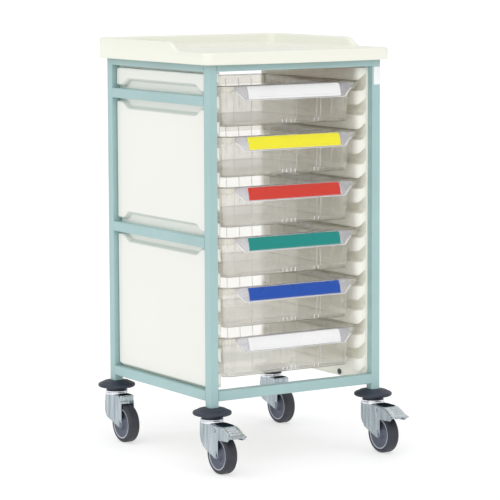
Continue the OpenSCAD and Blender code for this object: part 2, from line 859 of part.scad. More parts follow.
module brake_pedal(i) {
    half = cheek_in + cheek_t;
    shoe_z = axle_z + sqrt(wheel_r * wheel_r - pow(shoe_back_y + trail, 2)) + shoe_gap;
    shoe_top = wheel_d + shoe_share * over_wheel;
    shoe_web_y = tread_window[0][1] - shoe_web_gap;
    into_tread = [0, -tread_t / 2];
    color([0.78, 0.8, 0.83]) castor_at(i) difference() {
        union() {
            for (x = [-half, cheek_in]) along_x(x, x + cheek_t) cheek_outline();
            along_x(-half, half) tread_outline();
            intersection() {
                along_x(-pedal_w / 2, pedal_w / 2) tread_outline();
                translate([-pedal_w, -2 * pedal_reach, 0])
                    cube([2 * pedal_w, 2 * pedal_reach + tread_bend[0] - lip_setback, castor_h]);
            }
            along_x(-pedal_w / 2, pedal_w / 2) translate(tread_front) circle(roll_r);
            along_x(-shoe_half_w, shoe_half_w) polygon([
                [tread_crest[0], shoe_z], [shoe_back_y, shoe_z], [shoe_back_y, shoe_top],
                [shoe_web_y, shoe_top], [shoe_web_y, tread_crest[1] - tread_t / 2], tread_crest + into_tread
            ]);
        }
        along_x(-pedal_w, pedal_w) translate(pedal_pivot) circle(pedal_pin_r + pin_gap);
        translate([tread_window[0][0], tread_window[0][1], tread_crest[1] - tread_t - 1])
            cube([tread_window[1][0] - tread_window[0][0], tread_window[1][1] - tread_window[0][1], castor_h]);
    }
}

module pedal_pin(i) {
    half = cheek_in + cheek_t + 0.1;
    color([0.7, 0.72, 0.74]) castor_at(i) {
        along_x(-half - 1.5, half + 1.5) translate(pedal_pivot) circle(pedal_pin_r);
        for (x = [-half - 1.5, half]) along_x(x, x + 1.5) translate(pedal_pivot) circle(pedal_pin_r + 1.5);
    }
}

for (i = [0:3]) post(i);
rail_across(-1, top_rail_z, true);  // rail_front_top
rail_across(-1, frame_z, false);  // rail_front_bottom
rail_across(1, top_rail_z, true);  // rail_rear_top
rail_across(1, frame_z, false);  // rail_rear_bottom
for (s = [0, 1]) {
    side = 2 * s - 1;
    name = str("rail_", sides[s], "_");
    rail_along(side, top_rail_z, true, true);
    rail_along(side, upper_rail_z, false, false);
    rail_along(side, middle_rail_z, false, false);
    rail_along(side, frame_z, false, true);
    side_panel(side);
    runner_liner(side);
}
worktop_shell();
worktop_core();
worktop_screws();
liner_screws();
for (k = [0:tray_last]) {
    tray(k);
    label_strip(k);
}
castor_bumpers();
castor_stems();
kingpins();
swivel_balls();
for (i = [0:3]) {
    castor_fork(i);
    wheel_centre(i);
    tyre(i);
    axle_bolt(i);
}
for (i = brake_corners) {
    brake_pedal(i);
    pedal_pin(i);
}
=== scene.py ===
"""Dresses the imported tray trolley: materials, the moulded worktop, the clear trays with their
labels, the formed panels and liners, the pressed castors, a pale studio and the camera."""

import math

import bmesh
import bpy
from mathutils import Matrix, Vector


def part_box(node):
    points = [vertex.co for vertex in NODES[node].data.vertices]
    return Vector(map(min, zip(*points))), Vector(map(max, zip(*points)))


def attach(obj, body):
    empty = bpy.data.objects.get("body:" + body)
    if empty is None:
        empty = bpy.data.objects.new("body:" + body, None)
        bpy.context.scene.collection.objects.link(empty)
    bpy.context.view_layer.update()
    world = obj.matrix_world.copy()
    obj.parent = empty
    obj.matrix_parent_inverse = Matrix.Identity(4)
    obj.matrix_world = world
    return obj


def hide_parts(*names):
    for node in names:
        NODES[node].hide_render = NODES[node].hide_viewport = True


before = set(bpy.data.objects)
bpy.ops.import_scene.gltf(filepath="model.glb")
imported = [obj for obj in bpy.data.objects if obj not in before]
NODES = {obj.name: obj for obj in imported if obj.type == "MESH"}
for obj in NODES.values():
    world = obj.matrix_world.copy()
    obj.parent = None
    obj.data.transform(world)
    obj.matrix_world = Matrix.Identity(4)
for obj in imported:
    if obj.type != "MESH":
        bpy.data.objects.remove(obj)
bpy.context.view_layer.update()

MM = 0.001
CORNERS = ["front_left", "front_right", "rear_left", "rear_right"]
BRAKED = CORNERS[:2]
SIDES = ["left", "right"]
TRAYS = range(1, 7)

# Camera, fitted to the photograph's straight edges
IMAGE_PX = 500
SENSOR_MM = 36
FOCAL_PX = 2513.849
AZIMUTH, ELEVATION, ROLL = 31.816, 6.667, -0.288
CAMERA_MM = (-2748.056, -4333.795, 1039.308)
CENTRE_PX = (226.616, 236.131)


def srgb(r, g, b):
    """A colour from 0-255 display values to the linear values that shaders take."""
    def lin(v):
        v /= 255
        return v / 12.92 if v <= 0.04045 else ((v + 0.055) / 1.055) ** 2.4
    return (lin(r), lin(g), lin(b), 1.0)


def shade(color, k):
    """The colour made darker by the factor k."""
    return tuple(c * k for c in color[:3]) + (color[3],)


# Materials


class Shader:
    """A Principled material with short calls for the nodes that feed it."""

    def __init__(self, name, color, rough, metal=0.0, **sockets):
        self.mat = bpy.data.materials.new(name)
        self.mat.use_nodes = True
        self.tree = self.mat.node_tree
        self.bsdf = self.tree.nodes["Principled BSDF"]
        self.color = color
        self.fill(self.bsdf, Base_Color=color, Roughness=rough, Metallic=metal, **sockets)

    def fill(self, node, **sockets):
        """Sets a node's inputs; an underscore stands for a space in an input's name."""
        for key, value in sockets.items():
            node.inputs[key.replace("_", " ")].default_value = value
        return node

    def node(self, kind, **sockets):
        return self.fill(self.tree.nodes.new(kind), **sockets)

    def link(self, a, b):
        self.tree.links.new(a, b)

    def feed(self, socket, value):
        """Links a value to an input of the shader itself."""
        self.link(value, self.bsdf.inputs[socket])

    def noise(self, scale, detail=4.0, stretch=(1, 1, 1)):
        """Noise in the object's own coordinates, which are in metres."""
        made = self.node("ShaderNodeTexNoise", Scale=scale, Detail=detail)
        mapping = self.node("ShaderNodeMapping", Scale=stretch)
        self.link(self.node("ShaderNodeTexCoord").outputs["Object"], mapping.inputs["Vector"])
        self.link(mapping.outputs["Vector"], made.inputs["Vector"])
        return made.outputs["Fac"]

    def ramp(self, fac, low, high, a, b):
        """Maps fac from low..high to the numbers a..b."""
        made = self.node("ShaderNodeMapRange", From_Min=low, From_Max=high, To_Min=a, To_Max=b)
        self.link(fac, made.inputs["Value"])
        return made.outputs["Result"]

    def mix(self, fac, a, b):
        """Blends two colours, each of them a tuple or a node's output."""
        made = self.tree.nodes.new("ShaderNodeMix")
        made.data_type = "RGBA"
        fac_in, a_in, b_in, color_out = 0, 6, 7, 2
        for socket, value in ((a_in, a), (b_in, b)):
            if isinstance(value, tuple):
                made.inputs[socket].default_value = value
            else:
                self.link(value, made.inputs[socket])
        self.link(fac, made.inputs[fac_in])
        return made.outputs[color_out]

    def upward(self, low, high):
        """0 on faces that stand or hang, rising to 1 on those that face up."""
        geometry, split = self.node("ShaderNodeNewGeometry"), self.node("ShaderNodeSeparateXYZ")
        self.link(geometry.outputs["Normal"], split.inputs["Vector"])
        return self.ramp(split.outputs["Z"], low, high, 0, 1)

    def tint(self, other, scale, detail=4.0, low=0.35, high=0.65):
        """Varies the base colour towards another one in soft patches."""
        fac = self.ramp(self.noise(scale, detail), low, high, 0, 1)
        self.feed("Base Color", self.mix(fac, self.color, other))

    def polish(self, least, most, scale, detail=4.0):
        """Varies the roughness between two values."""
        self.feed("Roughness", self.ramp(self.noise(scale, detail), 0.3, 0.7, least, most))

    def relief(self, distance, strength, scale, detail, stretch=(1, 1, 1)):
        """Adds fine surface relief, with its distance in metres, and gives the finished material."""
        made = self.node("ShaderNodeBump", Strength=strength, Distance=distance)
        self.link(self.noise(scale, detail, stretch), made.inputs["Height"])
        self.feed("Normal", made.outputs["Normal"])
        return self.mat


def make_powder_coat():
    color = srgb(163, 194, 194)
    s = Shader("powder_coat", color, 0.42, Coat_Weight=0.15, Coat_Roughness=0.25)
    s.tint(shade(color, 0.93), scale=6)
    s.polish(0.38, 0.5, scale=40)
    return s.relief(0.00006, 0.6, scale=900, detail=2)


def make_moulded(name, color, rough):
    s = Shader(name, color, rough, Coat_Weight=0.25, Coat_Roughness=0.15)
    s.tint(shade(color, 0.98), scale=4, detail=2, low=0.3, high=0.7)
    s.polish(rough - 0.02, rough + 0.03, scale=14, detail=2)
    return s.relief(0.000006, 0.2, scale=700, detail=2)


def make_clear_plastic(name, color, alpha, clear):
    s = Shader(name, color, 0.08, IOR=1.46, Transmission_Weight=clear, Alpha=alpha)
    s.tint(shade(color, 0.95), scale=7)
    s.polish(0.03, 0.12, scale=25)
    return s.relief(0.0002, 0.3, scale=60, detail=2)


def make_label(name, color):
    s = Shader(name, color, 0.3, Specular_IOR_Level=0.35, Coat_Weight=0.15, Coat_Roughness=0.1)
    s.tint(shade(color, 0.95), scale=12, detail=2, low=0.3, high=0.7)
    s.polish(0.26, 0.36, scale=40)
    return s.relief(0.00002, 0.4, scale=200, detail=2)


def make_zinc(name, color, streak, top):
    """Zinc plate with upright streaks; faces that look up are painted paler and less metallic in the top
    colour, a painted highlight of the light from above.
    """
    s = Shader(name, color, 0.24, 1.0)
    streaks = s.ramp(s.noise(95, detail=2, stretch=(1, 1, 0.12)), 0.32, 0.68, 0, 1)
    # painted highlight: faces that look up get the paler top colour and less metal
    painted_top_light = s.upward(0.3, 0.9)
    s.feed("Base Color", s.mix(painted_top_light, s.mix(streaks, color, streak), top))
    s.feed("Metallic", s.ramp(painted_top_light, 0, 1, 1, 0.8))
    s.polish(0.14, 0.3, scale=120)
    return s.relief(0.00002, 0.5, scale=300, detail=2, stretch=(1, 1, 0.3))


def make_bumper(name, color, gloss):
    s = Shader(name, color, 0.5, Specular_IOR_Level=gloss)
    s.tint(shade(color, 0.84), scale=30)
    s.polish(0.42, 0.6, scale=60)
    return s.relief(0.00006, 0.6, scale=700, detail=3)


def make_tyre():
    s = Shader("tyre_rubber", srgb(54, 56, 64), 0.6)
    s.tint(srgb(44, 46, 54), scale=35)
    s.polish(0.45, 0.66, scale=80)
    return s.relief(0.00012, 0.6, scale=600, detail=4)


def make_wheel(name, color):
    s = Shader(name, color, 0.4)
    s.tint(shade(color, 0.86), scale=40)
    s.polish(0.34, 0.5, scale=60)
    return s.relief(0.00006, 0.6, scale=500, detail=3)


def make_dark_fastener():
    s = Shader("dark_fastener", srgb(40, 66, 60), 0.4)
    s.tint(srgb(28, 50, 46), scale=80)
    return s.relief(0.00005, 0.6, scale=500, detail=3)


def make_board():
    s = Shader("core_board", srgb(196, 164, 120), 0.75)
    s.tint(srgb(160, 128, 90), scale=220, detail=6, low=0.4, high=0.6)
    return s.relief(0.0002, 0.6, scale=400, detail=5)


COAT = make_powder_coat()
ABS = make_moulded("moulded_abs", srgb(237, 238, 225), 0.24)
PANEL = make_moulded("panel_abs", srgb(234, 235, 228), 0.3)
LINER = make_moulded("liner_abs", srgb(244, 243, 233), 0.34)
CLEAR = make_clear_plastic("clear_plastic", srgb(249, 246, 236), 0.42, 0.85)
CLEAR_LIP = make_clear_plastic("clear_lip", srgb(218, 218, 236), 0.32, 0.5)
# Dark brown: painted shade along the trays' rolled edges.
CLEAR_BEAD_SHADE = make_clear_plastic("clear_bead_painted_shade", srgb(150, 143, 122), 0.6, 0.3)
# Near-opaque white: a painted highlight for the glints along the trays' edges.
CLEAR_GLINT = make_clear_plastic("clear_painted_glint", srgb(255, 255, 255), 0.9, 0.1)
# Whiter than the tub: a painted highlight for the light the ribs catch.
CLEAR_RIB_HIGHLIGHT = make_clear_plastic("clear_rib_painted_highlight", srgb(250, 250, 250), 0.6, 0.3)
HOLDER = make_clear_plastic("label_film", srgb(240, 240, 246), 0.55, 0.3)
LABELS = [make_label("label_" + name, color) for name, color in (
    ("white_a", srgb(240, 240, 240)), ("yellow", srgb(240, 231, 46)), ("red", srgb(206, 56, 42)),
    ("green", srgb(4, 137, 129)), ("blue", srgb(18, 75, 170)), ("white_b", srgb(238, 238, 239)))]
# The third colour of each zinc is its painted highlight on faces that look up.
ZINC = make_zinc("zinc_plate", srgb(188, 198, 204), srgb(150, 162, 168), srgb(214, 222, 226))
# A lighter copy of the zinc: painted highlight for the white glints on the swivel cups and stems.
LIT_ZINC = make_zinc("zinc_painted_highlight", srgb(248, 249, 253), srgb(214, 219, 226), srgb(255, 255, 255))
BUMPER = make_bumper("bumper_moulding", srgb(46, 52, 66), 0.5)
# Near black without gloss: the brake shoe's rubber, and painted shade on the dark pieces set where the
# castors lie in shadow.
SHOE_AND_SHADE = make_bumper("brake_block_and_painted_shade", srgb(30, 38, 46), 0.0)
TYRE = make_tyre()
WHEEL = make_wheel("wheel_nylon", srgb(98, 103, 120))
RIM = make_wheel("wheel_rim", srgb(196, 202, 214))
STICKER = make_label("blank_sticker", srgb(240, 243, 244))
DARK = make_dark_fastener()
BOARD = make_board()

# The materials of the CAD nodes, by how their names start; the rest are zinc
BY_START = {"post_": COAT, "rail_": COAT, "worktop_shell": ABS, "worktop_core": BOARD,
            "side_panel": PANEL, "runner_liner": LINER, "liner_screws": DARK, "tray_": CLEAR,
            "castor_bumpers": BUMPER, "tyre_": TYRE, "wheel_centre": WHEEL}
BY_START.update({f"label_strip_{k}": LABELS[k - 1] for k in TRAYS})


def paint(obj, mat):
    obj.data.materials.clear()
    obj.data.materials.append(mat)


for name, obj in NODES.items():
    paint(obj, next((mat for start, mat in BY_START.items() if name.startswith(start)), ZINC))


# Mesh helpers


def box_mm(node):
    """The two corners of a CAD node's box, in millimetres."""
    return [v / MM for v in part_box(node)]


def clamp(t):
    return max(0.0, min(1.0, t))


def ease(t):
    """0 to 1 with level ends."""
    return 0.5 - 0.5 * math.cos(math.pi * clamp(t))


def span(a, b, steps):
    """Evenly spaced values from a to b, both included."""
    return [a + (b - a) * k / steps for k in range(steps + 1)]


def arc(start, end, step):
    """Angles in radians from start to end, both included; the arguments are whole degrees."""
    return [math.radians(d) for d in range(start, end + 1, step)]


def between(points, t):
    """Straight-line reading of (t, value) points."""
    for (a, va), (b, vb) in zip(points, points[1:]):
        if t <= b:
            return va + (vb - va) * clamp((t - a) / (b - a))
    return points[-1][1]


def rounded_rect(x0, y0, x1, y1, r, per_corner, per_side):
    """Points counter-clockwise round a rounded rectangle, as many whatever its size."""
    centres = [(x1 - r, y0 + r), (x1 - r, y1 - r), (x0 + r, y1 - r), (x0 + r, y0 + r)]
    turns = []
    for (cx, cy), start in zip(centres, (-90, 0, 90, 180)):
        angles = [math.radians(d) for d in span(start, start + 90, per_corner)]
        turns.append([(cx + r * math.cos(a), cy + r * math.sin(a)) for a in angles])
    points = []
    for turn, following in zip(turns, turns[1:] + turns[:1]):
        (ax, ay), (bx, by) = turn[-1], following[0]
        points += turn
        points += list(zip(span(ax, bx, per_side), span(ay, by, per_side)))[1:-1]
    return points


class Shape:
    """Collects closed forms in millimetres and makes one object of them."""

    def __init__(self):
        self.verts, self.faces = [], []

    def loft(self, loops):
        """Closed skin through loops of equal length, with flat ends."""
        base, n = len(self.verts), len(loops[0])
        for loop in loops:
            self.verts += loop
        for i in range(len(loops) - 1):
            for j in range(n):
                a, b = base + i * n + j, base + i * n + (j + 1) % n
                self.faces.append((a, b, b + n, a + n))
        self.faces.append(tuple(base + j for j in reversed(range(n))))
        self.faces.append(tuple(base + (len(loops) - 1) * n + j for j in range(n)))
        return self

    def slab(self, outer, inner, hole=None):
        """Closed sheet between two grids of points; hole(i, j) leaves out cells, with walls round them."""
        rows, cols = len(outer), len(outer[0])
        base = len(self.verts)
        for grid in (outer, inner):
            for row in grid:
                self.verts += row
        size = rows * cols

        def at(side, corner):
            return base + side * size + corner[0] * cols + corner[1]

        cells = {(i, j) for i in range(rows - 1) for j in range(cols - 1) if not (hole and hole(i, j))}
        for i, j in sorted(cells):
            ring = [(i, j), (i, j + 1), (i + 1, j + 1), (i + 1, j)]
            for side in (0, 1):
                self.faces.append(tuple(at(side, c) for c in ring))
            beyond = [(i - 1, j), (i, j + 1), (i + 1, j), (i, j - 1)]
            for a, b, cell in zip(ring, ring[1:] + ring[:1], beyond):
                if cell not in cells:
                    self.faces.append((at(0, a), at(0, b), at(1, b), at(1, a)))
        return self

    def lathe(self, profile, centre, along, sides=64):
        """Closed ring: (radius, height) points turned about an axis along x or z."""
        base, n = len(self.verts), len(profile)
        for k in range(sides):
            c, s = math.cos(math.tau * k / sides), math.sin(math.tau * k / sides)
            for r, h in profile:
                offset = (h, r * c, r * s) if along == "x" else (r * c, r * s, h)
                self.verts.append(tuple(a + b for a, b in zip(centre, offset)))
        for k in range(sides):
            for j in range(n):
                a, b = base + k * n + j, base + k * n + (j + 1) % n
                c, d = base + (k + 1) % sides * n + (j + 1) % n, base + (k + 1) % sides * n + j
                self.faces.append((a, b, c, d))
        return self

    def bar(self, points, normal, width, sides=6):
        """A thin round ridge along points, turned so that its section lies square to the normal."""
        loops = []
        for i, p in enumerate(points):
            a = Vector(points[max(i - 1, 0)])
            b = Vector(points[min(i + 1, len(points) - 1)])
            n = Vector(normal).normalized()
            across = (b - a).normalized().cross(n).normalized()
            turns = [math.tau * s / sides for s in range(sides)]
            loops.append([tuple(Vector(p) + width / 2 * (math.cos(t) * across + math.sin(t) * n))
                          for t in turns])
        return self.loft(loops)

    def block(self, ox, oy, sizes):
        """A block with rounded edges: x0, y0, x1 and y1 from (ox, oy), then its bottom and top."""
        x0, y0, x1, y1, low, high = sizes
        soft, corner_r = min(1.2, (high - low) / 3), 2
        loops = []
        for inset, z in ((soft, low), (0, low + soft), (0, high - soft), (soft, high)):
            ring = rounded_rect(x0 + inset, y0 + inset, x1 - inset, y1 - inset, corner_r, 4, 2)
            loops.append([(ox + x, oy + y, z) for x, y in ring])
        return self.loft(loops)

    def make(self, name, mat, body, slot, nodes=(), angle=40):
        mesh = bpy.data.meshes.new(name)
        mesh.from_pydata([Vector(v) * MM for v in self.verts], [], self.faces)
        bm = bmesh.new()
        bm.from_mesh(mesh)
        bmesh.ops.recalc_face_normals(bm, faces=bm.faces)
        bm.to_mesh(mesh)
        bm.free()
        place(bpy.data.objects.new(name, mesh), mat, body, nodes, angle)


def place(obj, mat, body, nodes=(), angle=40):
    """Links, paints, smooths and fixes a finished piece to its body, in place of its CAD nodes."""
    bpy.context.scene.collection.objects.link(obj)
    paint(obj, mat)
    for poly in obj.data.polygons:
        poly.use_smooth = True
    obj.data.set_sharp_from_angle(angle=math.radians(angle))
    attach(obj, body)
    if nodes:
        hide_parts(*nodes)


def eased_copy(node, name, mat, width):
    """A copy of a fixed CAD node with its edges rounded, as a moulded or turned piece has them."""
    weld, flat_angle, edge_angle = 0.00001, math.radians(1), math.radians(25)
    mesh = NODES[node].data.copy()
    bm = bmesh.new()
    bm.from_mesh(mesh)
    bmesh.ops.remove_doubles(bm, verts=bm.verts, dist=weld)
    bmesh.ops.dissolve_limit(bm, angle_limit=flat_angle, verts=bm.verts, edges=bm.edges)
    bm.to_mesh(mesh)
    bm.free()
    obj = bpy.data.objects.new(name, mesh)
    bevel = obj.modifiers.new("edges", "BEVEL")
    bevel.width = width * MM
    bevel.segments = 3
    bevel.limit_method = "ANGLE"
    bevel.angle_limit = edge_angle
    bevel.use_clamp_overlap = True
    bpy.context.scene.collection.objects.link(obj)
    dg = bpy.context.evaluated_depsgraph_get()
    done = bpy.data.meshes.new_from_object(obj.evaluated_get(dg))
    bpy.data.objects.remove(obj)
    place(bpy.data.objects.new(name, done), mat, "root", [node])


# Worktop


def make_worktop():
    low, high = box_mm("worktop_shell")
    skirt_z, gallery_top = low.z, high.z
    gallery_rise, lip_rise = 21, 3
    slope_start, slope_run = 106, 42
    wall, rim = 3, 14
    outer_r, inner_r, least_r = 18, 16, 6
    tightening = 0.7
    skirt_bow, bow_run = 1.2, 20
    surface = gallery_top - gallery_rise
    half_w = (high.x - low.x) / 2

    def rise(y):
        """Height of the rim above the working surface."""
        return lip_rise + (gallery_rise - lip_rise) * ease((y - low.y - slope_start) / slope_run)

    def bottom(x, y):
        """The skirt's lower edge, which bows down a little along the front."""
        front = 1 - clamp((y - low.y) / bow_run)
        return skirt_z + skirt_bow * (1 - front * (1 - (x / half_w) ** 2))

    def from_bottom(up):
        return lambda x, y: bottom(x, y) + up

    def from_top(down, share):
        return lambda x, y: surface + rise(y) - min(down, share * rise(y))

    def from_floor(up, share):
        return lambda x, y: surface + min(up, share * rise(y))

    # (inset, height) from the underside out round the skirt, over the rim and in to the floor
    profile = [
        (wall, lambda x, y: surface - wall), (wall + 0.6, from_bottom(6)),
        (wall + 1.6, from_bottom(2.6)), (wall + 1.9, from_bottom(1.2)),
        (wall + 1.5, from_bottom(0.2)), (wall + 0.6, from_bottom(0)),
        (2.2, from_bottom(0.35)), (1.1, from_bottom(1.2)), (0.35, from_bottom(2.8)), (0, from_bottom(5)),
        (0.05, from_top(6.5, 2.2)), (0.35, from_top(4.2, 1.4)), (1.2, from_top(2.3, 0.76)),
        (2.6, from_top(0.9, 0.3)), (4.6, from_top(0.15, 0.05)), (6.5, from_top(0, 0)),
        (rim - 5.5, from_top(0, 0)), (rim - 3.4, from_top(0.3, 0.1)), (rim - 1.8, from_top(1.2, 0.3)),
        (rim - 0.8, from_top(2.6, 0.5)), (rim - 0.2, from_top(4.6, 0.7)),
        (rim + 1.2, from_floor(6.0, 0.26)), (rim + 1.9, from_floor(3.4, 0.14)),
        (rim + 3.3, from_floor(1.4, 0.06)), (rim + 5.4, from_floor(0.4, 0.02)),
        (rim + 8.5, from_floor(0, 0)), (rim + 60, from_floor(0, 0)),
    ]
    loops = []
    for inset, height in profile:
        if inset <= rim:
            r = outer_r + (inner_r - outer_r) * inset / rim
        else:
            r = max(least_r, inner_r - tightening * (inset - rim))
        ring = rounded_rect(low.x + inset, low.y + inset, high.x - inset, high.y - inset, r, 10, 60)
        loops.append([(x, y, height(x, y)) for x, y in ring])
    Shape().loft(loops).make("worktop_moulding", ABS, "root", "white_abs", ["worktop_shell"], 60)


# Trays

RIM_SETBACK = 8.5
LIP_DROP = 30
LIP_HALF, LIP_FLAT = 137, 120
BODY_INSET, WALL, LEAN = 13, 2, 5
LEAN_RATE = 0.06
RIB_DOWNS = (8, 40, 72)
RIB_WIDTH = 1.6
FRONT_RIBS = [(-128, 1.4), (-87, 1.8), (-20, 1.2), (20, 1.2), (68.6, 2.4), (77.5, 2.4), (104, 1.4)]
# Where the short painted glints stand on the front wall.
FOOT_GLINTS = (-14, -4, 6, 16, 62, 72)
HEAD_GLINTS = (-149, -142)


class TrayForm:
    """The sizes of one tray, from its CAD box, in millimetres."""

    def __init__(self, k):
        self.low, self.high = box_mm(f"tray_{k}")
        self.top = self.high.z
        self.front = self.low.y + RIM_SETBACK
        self.back = self.high.y
        self.depth = self.high.z - self.low.z
        self.foot = self.top - self.depth
        self.wall_front = self.front + BODY_INSET
        self.wall_back = self.back - BODY_INSET

    def lip(self, x, t, out=0.0):
        """A point on the lip's outer face, t from rim to lower edge, moved outward."""
        a = (self.front + 6, 0)
        b = (self.front - 5, 0)
        c = (self.front - RIM_SETBACK, -LIP_DROP)
        y = (1 - t) ** 2 * a[0] + 2 * t * (1 - t) * b[0] + t * t * c[0]
        z = (1 - t) ** 2 * a[1] + 2 * t * (1 - t) * b[1] + t * t * c[1]
        dy = 2 * (1 - t) * (b[0] - a[0]) + 2 * t * (c[0] - b[0])
        dz = 2 * (1 - t) * (b[1] - a[1]) + 2 * t * (c[1] - b[1])
        length = math.hypot(dy, dz)
        return (x, y + out * dz / length, self.top + z - out * dy / length)

    def ring(self, inset, r, per_corner, per_side):
        """The tray's outline at an inset from its rim."""
        return rounded_rect(self.low.x + inset, self.front + inset, self.high.x - inset,
                            self.back - inset, r, per_corner, per_side)


def lip_end(x):
    """How far down the lip reaches at x, as a share of its full curve."""
    full, short = 1.0, 0.66
    return full - (full - short) * clamp((abs(x) - LIP_FLAT) / (LIP_HALF - LIP_FLAT))


def add_tray_tub(shape, form):
    skirt_full, skirt_corner, skirt_front = 20.7, 14, 2.0
    corner_start, corner_run = 14, 16
    behind_lip, lip_spare, lip_run = 12, 6, 8
    rim_r, body_r, least_r = 26, 20, 8
    lip_room = 5.5

    def skirt(x, y):
        """Depth of the rim's skirt, which is cut short at the front corners and behind the lip."""
        corner = 1 - ease((y - form.front - corner_start) / corner_run)
        depth = skirt_full + (skirt_corner - skirt_full) * corner
        if y < form.front + behind_lip:
            depth += (skirt_front - depth) * ease((LIP_HALF + lip_spare - abs(x)) / lip_run)
        return depth

    floor = form.depth
    outer, inner = BODY_INSET + LEAN, BODY_INSET + WALL + LEAN
    # (inset, height) up the outside, round the skirt and the rim, and down the inside
    profile = [
        (40, -floor), (24, -floor), (outer + 3.2, -floor + 0.7), (outer + 1, -floor + 2.8),
        (outer - 0.2, -floor + 6.5), (BODY_INSET + 0.2, -6), (BODY_INSET - 0.6, -3),
        (BODY_INSET - 3, -WALL), (2.4, -WALL), (2.2, None), (1.2, None), (0.1, None),
        (0, -1.6), (0.5, -0.6), (1.6, 0), (BODY_INSET - 1.8, 0), (BODY_INSET - 0.2, -0.5),
        (BODY_INSET + 1.1, -1.8), (BODY_INSET + WALL + 0.1, -5), (inner - 0.3, -floor + 9),
        (inner + 1, -floor + 4.4), (inner + 3.4, -floor + 2.5), (24, -floor + WALL), (40, -floor + WALL),
    ]
    loops = []
    for inset, z in profile:
        r = rim_r + (body_r - rim_r) * min(inset, 22) / BODY_INSET
        loop = []
        for x, y in form.ring(inset, max(r, least_r), 8, 16):
            down = -skirt(x, y) + (0.5 if inset in (2.2, 0.1) else 0) if z is None else z
            if inset < 6 and abs(x) < LIP_HALF - 1:
                y = max(y, form.front + lip_room)
            loop.append((x, y, form.top + down))
        loops.append(loop)
    shape.loft(loops)


def add_tray_lip(shape, form):
    thickness = 2.0
    xs, ts = span(-LIP_HALF, LIP_HALF, 68), span(0, 1, 16)
    shape.slab(*([[form.lip(x, t * lip_end(x), out) for t in ts] for x in xs] for out in (0, -thickness)))


def add_tray_ribs(shape, form):
    """The divider ribs on the walls and the fine lines along the floor, whiter than the tub as a painted
    highlight.
    """
    for x, width in FRONT_RIBS:
        points = [(x, form.wall_front + WALL + LEAN_RATE * d, form.top - d) for d in RIB_DOWNS]
        shape.bar(points, (0, 1, 0), width)
    for x in range(-128, 129, 32):
        points = [(x, form.wall_back - WALL - LEAN_RATE * d, form.top - d) for d in RIB_DOWNS]
        shape.bar(points, (0, -1, 0), RIB_WIDTH)
    for side in (-1, 1):
        wall_x = side * (form.high.x - BODY_INSET - WALL)
        for y in range(-120, 131, 50):
            y += (form.front + form.back) / 2
            points = [(wall_x - side * LEAN_RATE * d, y, form.top - d) for d in RIB_DOWNS]
            shape.bar(points, (-side, 0, 0), RIB_WIDTH)
    floor, end_gap = form.foot + WALL, 14
    line_pitch, thick, thin = 13, 1.2, 0.8
    for k in range(21):
        x = line_pitch * (k - 10)
        points = [(x, form.wall_front + end_gap, floor), (x, form.wall_back - end_gap, floor)]
        shape.bar(points, (0, 0, 1), thick if k % 2 else thin)


def add_tray_glints(shape, form):
    """Painted highlights: near-white ridges along the lip's chamfers and its foot, and short glints on the
    front wall.
    """
    lip_normal, forwards = (0, -1, 0.2), (0, -1, 0)
    for side in (-1, 1):
        chamfer = [form.lip(side * x, lip_end(x) - 0.02, 0.2) for x in span(LIP_FLAT, LIP_HALF, 6)]
        shape.bar(chamfer, lip_normal, 2.0)
    lip_foot = [form.lip(x, 0.99, -0.4) for x in span(-LIP_FLAT, LIP_FLAT, 10)]
    shape.bar(lip_foot, lip_normal, 1.0)
    for x in FOOT_GLINTS:
        glint = [(x, form.wall_front + out, form.foot + up) for out, up in ((4.6, 4), (4.2, 11))]
        shape.bar(glint, forwards, 1.8)
    for x in HEAD_GLINTS:
        glint = [(x, form.wall_front + 1.2, form.top - down) for down in (8, 14, 20)]
        shape.bar(glint, forwards, 1.6)


def add_tray_beads(shape, form):
    """The rolled edge round the rim, which passes behind the lip, and the rounded edge round the foot, both
    coloured dark brown as painted shade.
    """
    lip_room = 6.4
    rim_inset, rim_r, foot_inset, foot_r = 0.9, 25, 20.5, 14
    ring = form.ring(rim_inset, rim_r, 8, 6)
    bead = [(x, max(y, form.front + lip_room) if abs(x) < LIP_HALF - 1 else y, form.top - 1)
            for x, y in ring + ring[:1]]
    shape.bar(bead, (0, 0, 1), 1.7)
    ring = form.ring(foot_inset, foot_r, 6, 4)
    shape.bar([(x, y, form.foot + 1.2) for x, y in ring + ring[:1]], (0, 0, 1), 1.4)


def make_tray(k):
    form = TrayForm(k)
    body = f"tray_body_{k}"
    for part, add, mat, nodes in (("moulding", add_tray_tub, CLEAR, [f"tray_{k}"]),
                                  ("lip", add_tray_lip, CLEAR_LIP, ()),
                                  ("ribs", add_tray_ribs, CLEAR_RIB_HIGHLIGHT, ()),
                                  ("edges", add_tray_glints, CLEAR_GLINT, ()),
                                  ("beads", add_tray_beads, CLEAR_BEAD_SHADE, ())):
        shape = Shape()
        add(shape, form)
        shape.make(f"tray_{k}_{part}", mat, body, "clear_tray", nodes, 50)
    make_label_card(form, k)


def label_grid(form, half, t0, t1, corner, out):
    """A patch of the lip's face from t0 to t1, with round upper corners, moved out by out(t)."""
    share_per_mm = 0.028

    def top(x):
        into = clamp((abs(x) - half + corner) / corner)
        return t0 + share_per_mm * corner * (1 - math.sqrt(1 - into ** 2))

    corner_xs = [-half + corner * (1 - (1 - t) ** 2) for t in span(0, 1, 8)]
    xs = corner_xs + span(corner - half, half - corner, 30)[1:-1] + [-x for x in corner_xs[::-1]]
    grid = []
    for x in xs:
        shares = [top(x) + (t1 - top(x)) * t for t in span(0, 1, 24)]
        grid.append([form.lip(x, share, out(share)) for share in shares])
    return grid


